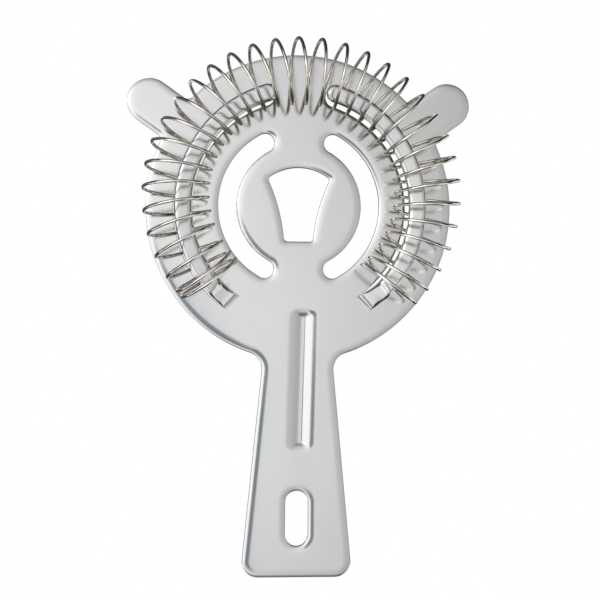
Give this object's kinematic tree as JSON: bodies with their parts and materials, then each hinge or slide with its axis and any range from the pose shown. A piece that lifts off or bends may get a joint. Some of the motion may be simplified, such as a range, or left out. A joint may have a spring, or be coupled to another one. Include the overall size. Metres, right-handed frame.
{
  "type": "hawthorne strainer",
  "caption": "Flat bar strainer: a slotted round steel plate with ears, a tapered handle and a ring-shaped coil spring that seals against a shaker tin.",
  "frame": {"origin": "under the middle of the overall length, on the symmetry plane, level with the crest of the handle's rib, which is the lowest point", "axes": "+Y from the handle to the front of the disc, +X to the right seen from the spring side, +Z out of the plate towards the spring"},
  "size_m": [0.0982, 0.1524, 0.0214],
  "materials": {
    "satin_steel": "satin, fine brushing along the handle, polished edges",
    "spring_wire": "bright polished wire"
  },
  "bodies": {
    "plate": {"strainer_plate": "satin_steel"},
    "spring": {"coil_spring": "spring_wire"}
  },
  "joints": [
    {"name": "spring_press", "type": "slide", "parent": "plate", "child": "spring", "axis": [0, -1, 0], "range_m": [0, 0.004], "stiffness_N_per_m": 1500, "deforming": ["coil_spring"]}
  ]
}
